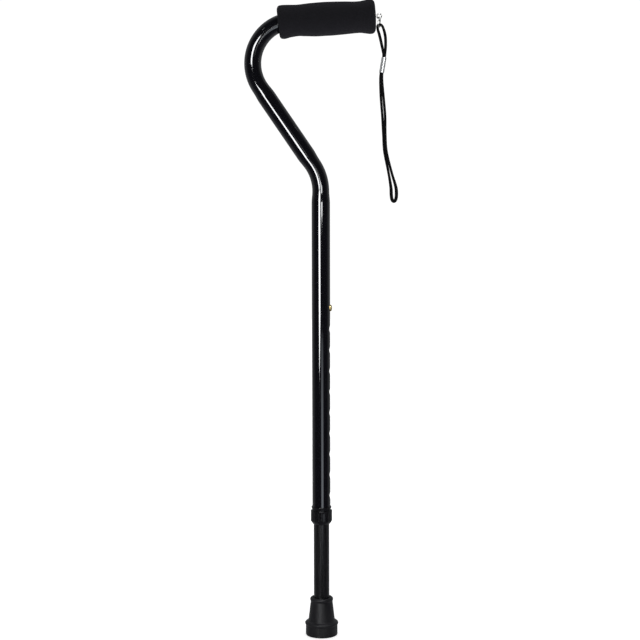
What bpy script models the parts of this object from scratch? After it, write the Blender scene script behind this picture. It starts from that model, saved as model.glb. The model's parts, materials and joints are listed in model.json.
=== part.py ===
"""Walking cane with an offset handle and a telescoping shaft, modelled standing on its tip.

Frame: the origin is the centre of the tip's tread, +Z runs up the shaft, and +X points from the
shaft to the free end of the handle. The cane is at its lowest height setting.
"""

import math
from itertools import pairwise

import bmesh
import bpy
from mathutils import Matrix, Vector

MM = 0.001
GAP = 0.3 * MM  # left between neighbouring pieces

# Tubes
UPPER_RADIUS = 11.0 * MM
LOWER_RADIUS = 9.45 * MM
WALL = 1.2 * MM
BORE_RADIUS = UPPER_RADIUS - WALL
TUBE_SIDES = 32

# Centreline of the upper tube: handle, big bend, leaning stretch, small bend, shaft
HANDLE_TILT = math.radians(2.9)
HANDLE_AXIS_Z = 743.05 * MM  # height of the handle's axis above the shaft
HANDLE_END_X = 63.4 * MM
LEAN = math.radians(34.3)
SHAFT_CORNER_Z = 558.6 * MM  # where the leaning axis would meet the shaft's axis
BIG_BEND_RADIUS = 50 * MM
SMALL_BEND_RADIUS = 57 * MM
BEND_STEP = math.radians(6)
FLATTENING = 0.08  # how much a bend narrows the tube in the plane of the bend
FLATTENING_RUN = 14 * MM  # straight length over which it fades out

# Height setting
TOP_HOLE_Z = 401.3 * MM
HOLE_PITCH = 25.4 * MM
HOLE_COUNT = 10
HOLE_RADIUS = 4.25 * MM

# Collar at the bottom of the upper tube
COLLAR_TOP_Z = 159.3 * MM
UPPER_TUBE_BOTTOM_Z = 157.3 * MM
NUT_TOP_Z = 154.8 * MM
NUT_BOTTOM_Z = 138.0 * MM
NUT_RADIUS = 13.1 * MM
NUT_BORE_RADIUS = 11.6 * MM
NUT_SHELF_Z = 140.4 * MM
NUT_FLUTES = 18
NUT_FLUTE_DEPTH = 0.35 * MM
NECK_RADIUS = 11.25 * MM
NECK_BOTTOM_Z = 144.0 * MM
THREAD_PITCH = 2.0 * MM
THREAD_DEPTH = 0.4 * MM

# Lower tube and tip
LOWER_TUBE_TOP_Z = 426 * MM
TIP_FLOOR_Z = 8.0 * MM
WASHER_THICKNESS = 1.0 * MM
LOWER_TUBE_BOTTOM_Z = TIP_FLOOR_Z + WASHER_THICKNESS + 2 * GAP

# Grip
GRIP_BORE_RADIUS = UPPER_RADIUS + 2 * GAP

# Strap hardware
EYE_WIRE_RADIUS = 0.75 * MM
EYE_RADIUS = 2.75 * MM  # of its wire's centreline
EYE_X = 69.4 * MM
RING_OUTER_RADIUS = 6.35 * MM
RING_THICKNESS = 1.0 * MM
RING_TURN_WIDTH = 0.82 * MM
RING_TURN_GAP = 0.06 * MM
RING_YAW = math.radians(12)
CORD_RADIUS = 1.6 * MM
CORD_STEP = 8 * MM

# Route of the strap's cord, in millimetres: up from the ferrule, through the split ring and back
# down through the ferrule, round the hand loop, and up into the ferrule again
CORD_ROUTE = [
    (74.5, -1.6, 690.2),
    (75.85, -1.6, 698.7),
    (76.5, -2.0, 706.0),
    (76.8, -3.0, 713.0),
    (76.6, -4.2, 720.5),
    (75.6, -4.8, 726.5),
    (74.3, -4.5, 731.0),
    (72.5, -3.2, 735.1),
    (69.4, 0.0, 737.0),
    (67.6, 3.2, 735.1),
    (68.0, 4.5, 731.0),
    (69.4, 4.8, 726.5),
    (70.9, 4.2, 720.5),
    (72.5, 3.0, 713.0),
    (73.9, 2.0, 706.0),
    (74.45, 1.6, 698.7),
    (71.5, 1.6, 680.5),
    (70.9, 1.6, 670.0),
    (71.6, 2.1, 651.0),
    (73.3, 2.4, 630.0),
    (74.5, 1.8, 608.0),
    (75.8, 1.8, 588.0),
    (80.6, 2.8, 564.0),
    (83.7, 4.2, 546.0),
    (84.3, 4.6, 536.0),
    (85.2, 3.2, 530.7),
    (87.1, 0.0, 528.9),
    (89.0, -3.2, 530.7),
    (89.9, -4.6, 536.0),
    (89.2, -4.2, 546.0),
    (84.0, -2.8, 564.0),
    (78.2, -1.8, 588.0),
    (76.8, -1.8, 608.0),
    (76.4, -2.4, 630.0),
    (74.6, -2.1, 651.0),
    (72.9, -1.6, 670.0),
    (72.9, -1.6, 680.5),
    (74.3, -1.6, 689.2),
]
FERRULE_TOP = Vector((75.15, 0, 698.4)) * MM
FERRULE_BOTTOM = Vector((72.2, 0, 680.4)) * MM
FERRULE_YAW = math.radians(66)
STRAND_OFFSET = 1.74 * MM  # of each strand from the middle of the ferrule

# The braid is slacker, and so thicker, between the ring and the ferrule and round the hand loop
UPPER_SLACK = 0.12
UPPER_SLACK_Z = (703 * MM, 733 * MM)
UPPER_SLACK_RUN = 8 * MM
HAND_SLACK = 0.32
HAND_SLACK_Z = 562 * MM
HAND_SLACK_RUN = 24 * MM


# ---------------------------------------------------------------- helpers


def clear_scene():
    for obj in list(bpy.data.objects):
        bpy.data.objects.remove(obj, do_unlink=True)


def material(name, color, roughness, metallic):
    found = bpy.data.materials.new(name)
    found.use_nodes = True
    shader = found.node_tree.nodes["Principled BSDF"]
    shader.inputs["Base Color"].default_value = (*color, 1)
    shader.inputs["Roughness"].default_value = roughness
    shader.inputs["Metallic"].default_value = metallic
    return found


def add_object(name, bm, look, sharp_degrees=35):
    """Turns a bmesh into a smooth-shaded object with its own material."""
    bmesh.ops.recalc_face_normals(bm, faces=bm.faces)
    mesh = bpy.data.meshes.new(name)
    bm.to_mesh(mesh)
    bm.free()
    mesh.shade_smooth()
    mesh.set_sharp_from_angle(angle=math.radians(sharp_degrees))
    obj = bpy.data.objects.new(name, mesh)
    bpy.context.scene.collection.objects.link(obj)
    if look is not None:
        mesh.materials.append(material(f"{name}_material", *look))
    return obj


def bridge(bm, loops, closed=False):
    """Joins each loop of vertices to the next with quads, or with a fan where a loop is one point."""
    pairs = list(pairwise(loops))
    if closed:
        pairs.append((loops[-1], loops[0]))
    for one, other in pairs:
        count = max(len(one), len(other))
        for i in range(count):
            j = (i + 1) % count
            if len(one) == 1:
                bm.faces.new((one[0], other[j], other[i]))
            elif len(other) == 1:
                bm.faces.new((one[i], one[j], other[0]))
            else:
                bm.faces.new((one[i], one[j], other[j], other[i]))


def ring_of(bm, point_at, sides):
    return [bm.verts.new(point_at(math.tau * i / sides)) for i in range(sides)]


def turned(profile, sides, scale_at=None):
    """A solid of revolution about Z from (radius, z) points. A profile that starts and ends on the
    axis is capped there, and any other is closed into a ring. scale_at changes a point's radius
    with its angle."""
    bm = bmesh.new()
    loops = []
    for radius, z in profile:
        if radius == 0:
            loops.append([bm.verts.new((0, 0, z))])
            continue

        def point_at(angle, radius=radius, z=z):
            r = scale_at(radius, z, angle) if scale_at else radius
            return (r * math.cos(angle), r * math.sin(angle), z)

        loops.append(ring_of(bm, point_at, sides))
    bridge(bm, loops, closed=profile[0][0] != 0)
    return bm


def cylinder_along_x(bm, x_from, x_to, z, radius, sides):
    """Adds a cylinder along X, used to cut holes through a tube's wall."""
    turn = Matrix.Rotation(math.pi / 2, 4, "Y")
    place = Matrix.Translation(((x_from + x_to) / 2, 0, z)) @ turn
    bmesh.ops.create_cone(
        bm, cap_ends=True, segments=sides, radius1=radius, radius2=radius,
        depth=x_to - x_from, matrix=place,
    )


def boolean(target, operand, operation):
    """Keeps a Boolean on the target, with its operand left out of the render."""
    operand.hide_render = True
    operand.display_type = "WIRE"
    modifier = target.modifiers.new(operation.title(), "BOOLEAN")
    modifier.operation = operation
    modifier.object = operand
    modifier.solver = "EXACT"


# ---------------------------------------------------------------- centreline of the upper tube


def line_corner():
    """Where the handle's axis, prolonged, meets the leaning axis, as (x, z)."""
    slope = math.tan(HANDLE_TILT)
    lean = math.tan(LEAN)
    x = -lean * (HANDLE_AXIS_Z - SHAFT_CORNER_Z) / (1 + lean * slope)
    return Vector((x, HANDLE_AXIS_Z + slope * x))


def bend_points(before, corner, after, radius):
    """A bend's points and tangents between two straight axes, in the XZ plane as (x, z)."""
    into = (corner - before).normalized()
    out = (after - corner).normalized()
    turn = into.angle_signed(out)
    setback = radius * math.tan(abs(turn) / 2)
    start = corner - into * setback
    side = 1 if turn > 0 else -1
    center = start + Vector((into.y, -into.x)) * radius * side
    steps = round(abs(turn) / BEND_STEP)
    found = []
    for i in range(steps + 1):
        angle = -turn * i / steps
        swing = Matrix.Rotation(angle, 2)
        found.append((center + swing @ (start - center), swing @ into))
    return found


def handle_start():
    """The end of the big bend, where the straight handle begins, as (x, z)."""
    corner = line_corner()
    shaft = Vector((0, SHAFT_CORNER_Z))
    return bend_points(shaft, corner, handle_end(), BIG_BEND_RADIUS)[-1][0]


def handle_end():
    return Vector((HANDLE_END_X, HANDLE_AXIS_Z + math.tan(HANDLE_TILT) * HANDLE_END_X))


def upper_tube_stations():
    """(point, tangent, flattening) along the upper tube, from the collar to the handle's end."""
    bottom = Vector((0, UPPER_TUBE_BOTTOM_Z))
    shaft_corner = Vector((0, SHAFT_CORNER_Z))
    small = bend_points(bottom, shaft_corner, line_corner(), SMALL_BEND_RADIUS)
    big = bend_points(shaft_corner, line_corner(), handle_end(), BIG_BEND_RADIUS)
    stations = [(bottom, small[0][1], 0)]
    for bend in (small, big):
        first, tangent = bend[0]
        stations.append((first - tangent * FLATTENING_RUN, tangent, 0))
        stations += [(point, along, FLATTENING) for point, along in bend]
        last, tangent = bend[-1]
        stations.append((last + tangent * FLATTENING_RUN, tangent, 0))
    stations.append((handle_end(), stations[-1][1], 0))
    return stations


def tube_loops(bm, stations, radius):
    """Rings of vertices round the centreline, narrowed in the bends' plane and widened across it."""
    loops = []
    for point, tangent, flat in stations:
        center = Vector((point.x, 0, point.y))
        normal = Vector((tangent.y, 0, -tangent.x))
        in_plane = radius * (1 - flat)
        across = radius * (1 + flat / 2)

        def point_at(angle, center=center, normal=normal, in_plane=in_plane, across=across):
            side = Vector((0, across * math.sin(angle), 0))
            return center + normal * in_plane * math.cos(angle) + side

        loops.append(ring_of(bm, point_at, TUBE_SIDES))
    return loops


# ---------------------------------------------------------------- shaft


def build_upper_tube():
    bm = bmesh.new()
    stations = upper_tube_stations()
    outside = tube_loops(bm, stations, UPPER_RADIUS)
    inside = tube_loops(bm, [stations[0], *stations[1:-1:2], stations[-1]], BORE_RADIUS)
    bridge(bm, outside + inside[::-1], closed=True)
    tube = add_object("upper_tube", bm, ((0.012, 0.012, 0.014), 0.12, 0.6))
    holes = bmesh.new()
    for i in range(HOLE_COUNT):
        z = TOP_HOLE_Z - i * HOLE_PITCH
        cylinder_along_x(holes, UPPER_RADIUS / 2, UPPER_RADIUS * 1.5, z, HOLE_RADIUS, 20)
    boolean(tube, add_object("height_hole_cutters", holes, None), "DIFFERENCE")


def build_lower_tube():
    profile = [
        (LOWER_RADIUS, LOWER_TUBE_BOTTOM_Z),
        (LOWER_RADIUS, LOWER_TUBE_TOP_Z),
        (LOWER_RADIUS - WALL, LOWER_TUBE_TOP_Z),
        (LOWER_RADIUS - WALL, LOWER_TUBE_BOTTOM_Z),
    ]
    look = ((0.012, 0.012, 0.013), 0.3, 0.5)
    tube = add_object("lower_tube", turned(profile, TUBE_SIDES), look)
    hole = bmesh.new()
    cylinder_along_x(hole, LOWER_RADIUS / 2, LOWER_RADIUS * 1.5, TOP_HOLE_Z, HOLE_RADIUS, 20)
    boolean(tube, add_object("button_hole_cutter", hole, None), "DIFFERENCE")


def build_collar_bushing():
    """The fixed part of the collar: a cup for the tube's end over a threaded, slit neck."""
    cup_radius = UPPER_RADIUS + GAP / 2
    cup_floor = UPPER_TUBE_BOTTOM_Z - GAP
    lip_radius = 12.2 * MM
    waist_radius = 11.3 * MM
    profile = [
        (BORE_RADIUS, NECK_BOTTOM_Z),
        (NECK_RADIUS - 0.6 * MM, NECK_BOTTOM_Z),
        (NECK_RADIUS, NECK_BOTTOM_Z + 0.8 * MM),
    ]
    for i in range(1, 5):
        root = NECK_BOTTOM_Z + i * THREAD_PITCH
        profile.append((NECK_RADIUS - THREAD_DEPTH, root))
        profile.append((NECK_RADIUS, root + THREAD_PITCH / 2))
    profile += [
        (waist_radius, NUT_TOP_Z - 1 * MM),
        (waist_radius, COLLAR_TOP_Z - 2.6 * MM),
        (lip_radius, COLLAR_TOP_Z - 1.2 * MM),
        (lip_radius, COLLAR_TOP_Z - 0.4 * MM),
        (lip_radius - 0.4 * MM, COLLAR_TOP_Z),
        (cup_radius, COLLAR_TOP_Z),
        (cup_radius, cup_floor),
        (BORE_RADIUS, cup_floor),
    ]
    look = ((0.02, 0.02, 0.02), 0.45, 0.0)
    bushing = add_object("collar_bushing", turned(profile, TUBE_SIDES), look)
    slits = bmesh.new()
    for i in range(2):
        turn = Matrix.Rotation(math.pi / 2 * i + math.pi / 4, 4, "Z")
        size = Matrix.Diagonal((4 * NECK_RADIUS, 1.2 * MM, 12 * MM, 1))
        place = Matrix.Translation((0, 0, NECK_BOTTOM_Z))
        bmesh.ops.create_cube(slits, size=1, matrix=place @ turn @ size)
    for i, cutter in enumerate(split_cubes(slits)):
        boolean(bushing, add_object(f"slit_cutter_{i}", cutter, None), "DIFFERENCE")


def split_cubes(bm):
    """One bmesh for each separate cube, so that crossing cutters are used one after another."""
    count = len(bm.verts) // 8
    found = []
    for i in range(count):
        one = bm.copy()
        one.verts.ensure_lookup_table()
        spare = [v for v in one.verts if v.index // 8 != i]
        bmesh.ops.delete(one, geom=spare, context="VERTS")
        found.append(one)
    bm.free()
    return found


def build_clamp_ring():
    """A split ring that the lock nut presses against the lower tube."""
    split = math.radians(14)
    steps = 30
    bottom = NUT_SHELF_Z + GAP
    top = NECK_BOTTOM_Z - GAP
    inner = BORE_RADIUS
    outer = NUT_BORE_RADIUS - GAP
    section = [
        (inner, bottom),
        (outer, bottom),
        (outer, top - 1.2 * MM),
        (outer - 1 * MM, top),
        (inner, top),
    ]
    bm = bmesh.new()
    loops = []
    for i in range(steps + 1):
        angle = split / 2 + (math.tau - split) * i / steps
        spot = [(r * math.cos(angle), r * math.sin(angle), z) for r, z in section]
        loops.append([bm.verts.new(p) for p in spot])
    bridge(bm, loops)
    bm.faces.new(loops[0])
    bm.faces.new(loops[-1])
    add_object("clamp_ring", bm, ((0.05, 0.05, 0.05), 0.5, 0.0))


def build_lock_nut():
    chamfer_top = NUT_BOTTOM_Z + 3.8 * MM
    flute_run = 1.2 * MM

    def fluted(radius, z, angle):
        """Shallow flutes down the nut's straight side, fading out at its ends."""
        on_side = radius > NUT_RADIUS - 0.1 * MM
        if not on_side or z > NUT_TOP_Z - flute_run:
            return radius
        wave = (1 - math.cos(NUT_FLUTES * angle)) / 2
        return radius - NUT_FLUTE_DEPTH * (1 - wave**2)

    profile = [
        (BORE_RADIUS, NUT_BOTTOM_Z),
        (10.1 * MM, NUT_BOTTOM_Z),
        (11.3 * MM, NUT_BOTTOM_Z + 1.5 * MM),
        (NUT_RADIUS - 0.2 * MM, chamfer_top),
        (NUT_RADIUS, chamfer_top + 0.6 * MM),
        (NUT_RADIUS, NUT_TOP_Z - 1.4 * MM),
        (NUT_RADIUS - 0.1 * MM, NUT_TOP_Z - 0.5 * MM),
        (NUT_RADIUS - 0.6 * MM, NUT_TOP_Z),
        (NUT_BORE_RADIUS, NUT_TOP_Z),
        (NUT_BORE_RADIUS, NUT_SHELF_Z),
        (BORE_RADIUS, NUT_SHELF_Z),
    ]
    look = ((0.02, 0.02, 0.02), 0.4, 0.0)
    add_object("lock_nut", turned(profile, 4 * NUT_FLUTES, fluted), look)


def build_snap_button():
    """The round button, turned about X: a base inside the lower tube, a stem and a domed head."""
    base_radius = 5.2 * MM
    base_bottom = 5.0 * MM
    base_top = 6.1 * MM
    stem = HOLE_RADIUS - GAP
    stem_top = UPPER_RADIUS + 0.6 * MM
    dome_height = 1.6 * MM
    dome_steps = 5
    profile = [(0, base_bottom), (base_radius, base_bottom), (base_radius, base_top), (stem, base_top)]
    for i in range(dome_steps):
        angle = math.pi / 2 * i / dome_steps
        profile.append((stem * math.cos(angle), stem_top + dome_height * math.sin(angle)))
    profile.append((0, stem_top + dome_height))
    button = add_object("snap_button", turned(profile, 24), ((0.75, 0.55, 0.22), 0.25, 1.0))
    button.location = (0, 0, TOP_HOLE_Z)
    button.rotation_euler = (0, math.pi / 2, 0)


def build_button_spring():
    """A bent strip inside the lower tube: one leg behind the button, one on the far wall."""
    half_width = 4.0 * MM
    thickness = 0.5 * MM
    near_x = 4.4 * MM
    far_x = -6.6 * MM
    bend_center = Vector((-1.5 * MM, TOP_HOLE_Z - 30 * MM))
    bend_radius = 1.6 * MM
    bend_steps = 8
    path = [Vector((near_x, TOP_HOLE_Z + 6 * MM)), Vector((near_x, TOP_HOLE_Z - 6 * MM))]
    for i in range(bend_steps + 1):
        angle = math.pi * i / bend_steps
        path.append(bend_center + Vector((math.cos(angle), -math.sin(angle))) * bend_radius)
    path += [Vector((far_x, TOP_HOLE_Z - 4 * MM)), Vector((far_x, TOP_HOLE_Z + 8 * MM))]
    bm = bmesh.new()
    loops = []
    for i, point in enumerate(path):
        along = (path[min(i + 1, len(path) - 1)] - path[max(i - 1, 0)]).normalized()
        side = Vector((along.y, -along.x)) * thickness / 2
        corners = []
        for out, y in ((1, -half_width), (1, half_width), (-1, half_width), (-1, -half_width)):
            spot = point + side * out
            corners.append(bm.verts.new((spot.x, y, spot.y)))
        loops.append(corners)
    bridge(bm, loops)
    bm.faces.new(loops[0])
    bm.faces.new(loops[-1])
    add_object("button_spring", bm, ((0.6, 0.58, 0.55), 0.3, 1.0))


def build_rubber_tip():
    """A bell with a rolled rim at its mouth, a wide foot with a lip, and two grooves in its tread."""
    bore = LOWER_RADIUS + 0.2 * MM
    mouth_z = 45.0 * MM
    profile_mm = [(0, 0), (5.0, 0)]
    for groove in (6.5, 12.0):
        profile_mm += [(groove - 0.9, 0), (groove - 0.6, 1.4), (groove + 0.6, 1.4), (groove + 0.9, 0)]
    profile_mm += [
        (18.4, 0),
        (19.2, 0.4),
        (19.4, 1.3),
        (19.4, 12.6),
        (20.1, 13.6),
        (20.3, 15.0),
        (19.8, 16.4),
        (18.7, 17.5),
        (17.4, 18.1),
        (16.4, 18.6),
        (16.0, 19.8),
        (13.3, 41.8),
        (13.8, 42.8),
        (14.1, 44.0),
        (13.95, 45.1),
        (13.3, 46.1),
        (12.3, 46.6),
        (11.0, 46.6),
        (10.2, 46.0),
    ]
    profile = [(r * MM, z * MM) for r, z in profile_mm]
    profile += [(bore, mouth_z), (bore, TIP_FLOOR_Z), (0, TIP_FLOOR_Z)]
    add_object("rubber_tip", turned(profile, 36), ((0.018, 0.018, 0.018), 0.65, 0.0))


def build_tip_washer():
    """A steel washer on the tip's floor, which the lower tube's end presses on."""
    hole = 3 * MM
    outer = 9 * MM
    bottom = TIP_FLOOR_Z + GAP
    top = bottom + WASHER_THICKNESS
    profile = [(hole, bottom), (outer, bottom), (outer, top), (hole, top)]
    add_object("tip_washer", turned(profile, 24), ((0.6, 0.6, 0.6), 0.3, 1.0))


# ---------------------------------------------------------------- handle


def add_handle_axis():
    """An empty at the start of the straight handle, its X axis along the handle."""
    start = handle_start()
    axis = bpy.data.objects.new("handle_axis", None)
    bpy.context.scene.collection.objects.link(axis)
    axis.location = (start.x, 0, start.y)
    axis.rotation_euler = (0, -HANDLE_TILT, 0)
    return axis


def bore_height(x, up):
    """Height of the grip's bore at x, where up runs from 1 at its top to -1 at its bottom. Behind
    the handle axis's origin the bore follows the tube into the bend."""
    if x >= 0:
        return GRIP_BORE_RADIUS * up
    return math.sqrt((BIG_BEND_RADIUS + GRIP_BORE_RADIUS * up) ** 2 - x**2) - BIG_BEND_RADIUS


def build_foam_grip(axis):
    """A soft sleeve, waisted between its flared ends, with its back end pulled over the bend."""
    # along the handle, radius, drop of the centre, and how far the top leans back
    rings_mm = [
        (-17.2, 14.3, 1.4, 0.9),
        (-16.9, 16.8, 0.8, 0.7),
        (-15.4, 19.0, 0.8, 0.5),
        (-12.0, 19.8, 0.9, 0.2),
        (-8.0, 19.6, 0.7, 0),
        (-2.0, 18.9, 0.3, 0),
        (6.0, 18.35, 0, 0),
        (13.0, 18.8, 0, 0),
        (22.0, 19.5, 0, 0),
        (35.0, 19.8, 0, 0),
        (49.0, 19.65, 0, 0),
        (63.0, 19.05, 0, 0),
        (77.0, 18.35, 0, 0),
        (84.0, 19.15, 0, 0),
        (89.5, 20.2, 0, 0),
        (93.0, 20.15, 0, 0),
        (95.5, 19.1, 0, 0),
        (96.8, 16.4, 0, 0),
        (97.5, 13.0, 0, 0),
    ]
    back_x, _, _, back_lean = rings_mm[0]
    front_x = rings_mm[-1][0]
    sides = 28
    bm = bmesh.new()
    outside = []
    for ring in rings_mm:
        x, radius, drop, lean = (size * MM for size in ring)

        def point_at(angle, x=x, radius=radius, drop=drop, lean=lean):
            up = math.cos(angle)
            return (x - lean * up, radius * math.sin(angle), radius * up - drop)

        outside.append(ring_of(bm, point_at, sides))
    inside = []
    for x_mm, lean_mm in ((back_x, back_lean), (-12, 0.4), (-8, 0), (-4, 0), (0, 0), (front_x, 0)):

        def bore_at(angle, x=x_mm * MM, lean=lean_mm * MM):
            up = math.cos(angle)
            back = x - lean * up
            return (back, GRIP_BORE_RADIUS * math.sin(angle), bore_height(back, up))

        inside.append(ring_of(bm, bore_at, sides))
    bridge(bm, outside + inside[::-1], closed=True)
    grip = add_object("foam_grip", bm, ((0.015, 0.015, 0.016), 0.95, 0.0), 60)
    grip.parent = axis


def build_handle_end_plug(axis):
    """A domed cap on the tube's end, with a stub inside it and a hole for the eye's shank."""
    head = (handle_end() - handle_start()).length + GAP
    stub_end = head - 12 * MM
    stub_radius = BORE_RADIUS - GAP
    cap_radius = UPPER_RADIUS - 0.1 * MM
    shank_hole = EYE_WIRE_RADIUS + GAP
    profile = [
        (shank_hole, stub_end),
        (stub_radius - 0.5 * MM, stub_end),
        (stub_radius, stub_end + 1 * MM),
        (stub_radius, head),
        (cap_radius, head),
        (cap_radius, head + 0.8 * MM),
        (cap_radius - 0.7 * MM, head + 1.4 * MM),
        (7.0 * MM, head + 1.9 * MM),
        (shank_hole, head + 2.2 * MM),
    ]
    plug = add_object("handle_end_plug", turned(profile, 28), ((0.02, 0.02, 0.02), 0.5, 0.0))
    plug.parent = axis
    plug.rotation_euler = (0, math.pi / 2, 0)


def eye_center():
    return Vector((EYE_X, 0, HANDLE_AXIS_Z + math.tan(HANDLE_TILT) * EYE_X))


def build_strap_eye_screw(axis):
    """A ring of wire on a shank that screws into the end plug."""
    along = (eye_center() - axis.location).length
    sides = 10
    steps = 28
    bm = bmesh.new()
    loops = []
    for i in range(steps):
        turn = math.tau * i / steps
        spoke = Vector((math.cos(turn), 0, math.sin(turn)))

        def point_at(angle, spoke=spoke):
            out = spoke * (EYE_RADIUS + EYE_WIRE_RADIUS * math.cos(angle))
            return out + Vector((0, EYE_WIRE_RADIUS * math.sin(angle), 0))

        loops.append(ring_of(bm, point_at, sides))
    bridge(bm, loops, closed=True)
    eye = add_object("strap_eye_screw", bm, ((0.75, 0.74, 0.72), 0.15, 1.0))
    eye.parent = axis
    eye.location = (along, 0, 0)
    shank = bmesh.new()
    shank_end = -EYE_RADIUS - 12 * MM
    cylinder_along_x(shank, shank_end, -EYE_RADIUS, 0, EYE_WIRE_RADIUS, 12)
    operand = add_object("eye_shank", shank, None)
    operand.parent = axis
    operand.location = (along, 0, 0)
    boolean(eye, operand, "UNION")


# ---------------------------------------------------------------- wrist strap


def ring_center():
    """The split ring hangs on the lowest part of the eye's wire."""
    clearance = 0.35 * MM
    top = eye_center().z - (EYE_RADIUS - EYE_WIRE_RADIUS) + clearance + RING_THICKNESS
    return Vector((EYE_X, 0, top - RING_OUTER_RADIUS))


def build_strap_split_ring():
    """Two turns of flat wire side by side, joined by a short ramp."""
    turns = 2
    steps = 30 * turns
    pitch = RING_TURN_WIDTH + RING_TURN_GAP
    ramp = math.radians(50)
    middle = RING_OUTER_RADIUS - RING_THICKNESS / 2
    half_thick = RING_THICKNESS / 2
    half_wide = RING_TURN_WIDTH / 2
    bevel = 0.15 * MM
    section = [
        (half_thick - bevel, -half_wide),
        (half_thick, -half_wide + bevel),
        (half_thick, half_wide - bevel),
        (half_thick - bevel, half_wide),
        (-half_thick, half_wide),
        (-half_thick, -half_wide),
    ]
    bm = bmesh.new()
    loops = []
    for i in range(steps + 1):
        turn = (math.tau * turns - 0.2) * i / steps
        across = min(max((turn - (math.tau - ramp / 2)) / ramp, 0), 1)
        shift = (across - 0.5) * pitch
        spoke = Vector((0, math.cos(turn), math.sin(turn)))
        corners = []
        for out, wide in section:
            corners.append(bm.verts.new(spoke * (middle + out) + Vector((wide + shift, 0, 0))))
        loops.append(corners)
    bridge(bm, loops)
    bm.faces.new(loops[0])
    bm.faces.new(loops[-1])
    ring = add_object("strap_split_ring", bm, ((0.75, 0.74, 0.72), 0.15, 1.0))
    ring.location = ring_center()
    ring.rotation_euler = (0, 0, -RING_YAW)


def build_strap_ferrule():
    """A flat-oval crimped sleeve round both strands, slightly pinched at two places."""
    axis = (FERRULE_TOP - FERRULE_BOTTOM).normalized()
    wide = Vector((math.cos(FERRULE_YAW), -math.sin(FERRULE_YAW), 0))
    wide = (wide - axis * wide.dot(axis)).normalized()
    deep = axis.cross(wide)
    sides = 24
    inner = CORD_RADIUS + 0.2 * MM
    wall = 0.45 * MM

    def loop_at(bm, share, radius):
        center = FERRULE_BOTTOM.lerp(FERRULE_TOP, share)

        def point_at(angle):
            shift = STRAND_OFFSET if math.cos(angle) > 0 else -STRAND_OFFSET
            return (
                center
                + wide * (shift + radius * math.cos(angle))
                + deep * radius * math.sin(angle)
            )

        return ring_of(bm, lambda angle: point_at(angle + math.pi / sides), sides)

    bm = bmesh.new()
    pinch = 0.15 * MM
    full_shares = (0.03, 0.18, 0.42, 0.58, 0.82, 0.97)
    pinched_shares = (0, 0.3, 0.7, 1)
    loops = []
    for share in sorted(full_shares + pinched_shares):
        depth = pinch if share in pinched_shares else 0
        loops.append(loop_at(bm, share, inner + wall - depth))
    loops += [loop_at(bm, share, inner) for share in (1, 0)]
    bridge(bm, loops, closed=True)
    add_object("strap_ferrule", bm, ((0.8, 0.8, 0.8), 0.2, 1.0))


def smooth_route(route, step):
    """Points of a Catmull-Rom curve through the route, at least two to each stretch."""
    ends = [2 * route[0] - route[1], *route, 2 * route[-1] - route[-2]]
    found = [route[0]]
    for a, b, c, d in zip(ends, ends[1:], ends[2:], ends[3:], strict=False):
        pieces = max(2, round((c - b).length / step))
        for i in range(1, pieces + 1):
            t = i / pieces
            near = b * 2 + (c - a) * t
            far = (a * 2 - b * 5 + c * 4 - d) * t**2 + (b * 3 - a - c * 3 + d) * t**3
            found.append((near + far) / 2)
    return found


def smooth_step(share):
    share = min(max(share, 0), 1)
    return share * share * (3 - 2 * share)


def braid_slack(z):
    """How much thicker the cord is at a height than where it is pulled tight."""
    low, high = UPPER_SLACK_Z
    upper = smooth_step((z - low) / UPPER_SLACK_RUN) * smooth_step((high - z) / UPPER_SLACK_RUN)
    return UPPER_SLACK * upper + HAND_SLACK * smooth_step((HAND_SLACK_Z - z) / HAND_SLACK_RUN)


def build_wrist_strap_cord():
    points = smooth_route([Vector(p) * MM for p in CORD_ROUTE], CORD_STEP)
    curve = bpy.data.curves.new("wrist_strap_cord", "CURVE")
    curve.dimensions = "3D"
    curve.bevel_depth = CORD_RADIUS
    curve.bevel_resolution = 2
    curve.use_fill_caps = True
    spline = curve.splines.new("POLY")
    spline.points.add(len(points) - 1)
    for spot, point in zip(spline.points, points, strict=True):
        spot.co = (*point, 1)
        spot.radius = 1 + braid_slack(point.z)
    curve.materials.append(material("wrist_strap_cord_material", (0.01, 0.01, 0.01), 0.8, 0.0))
    cord = bpy.data.objects.new("wrist_strap_cord", curve)
    bpy.context.scene.collection.objects.link(cord)


def main():
    clear_scene()
    build_upper_tube()
    build_lower_tube()
    build_collar_bushing()
    build_clamp_ring()
    build_lock_nut()
    build_snap_button()
    build_button_spring()
    build_rubber_tip()
    build_tip_washer()
    axis = add_handle_axis()
    build_foam_grip(axis)
    build_handle_end_plug(axis)
    build_strap_eye_screw(axis)
    build_strap_split_ring()
    build_strap_ferrule()
    build_wrist_strap_cord()


main()
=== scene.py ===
"""Looks of the walking cane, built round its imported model: the camera, a white studio, and for each
part a fine mesh with its own procedural material. Metres, +Z up, the cane standing on its tip."""

import json
import math
from itertools import pairwise

import bmesh
import bpy
from mathutils import Matrix, Vector, noise


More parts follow.
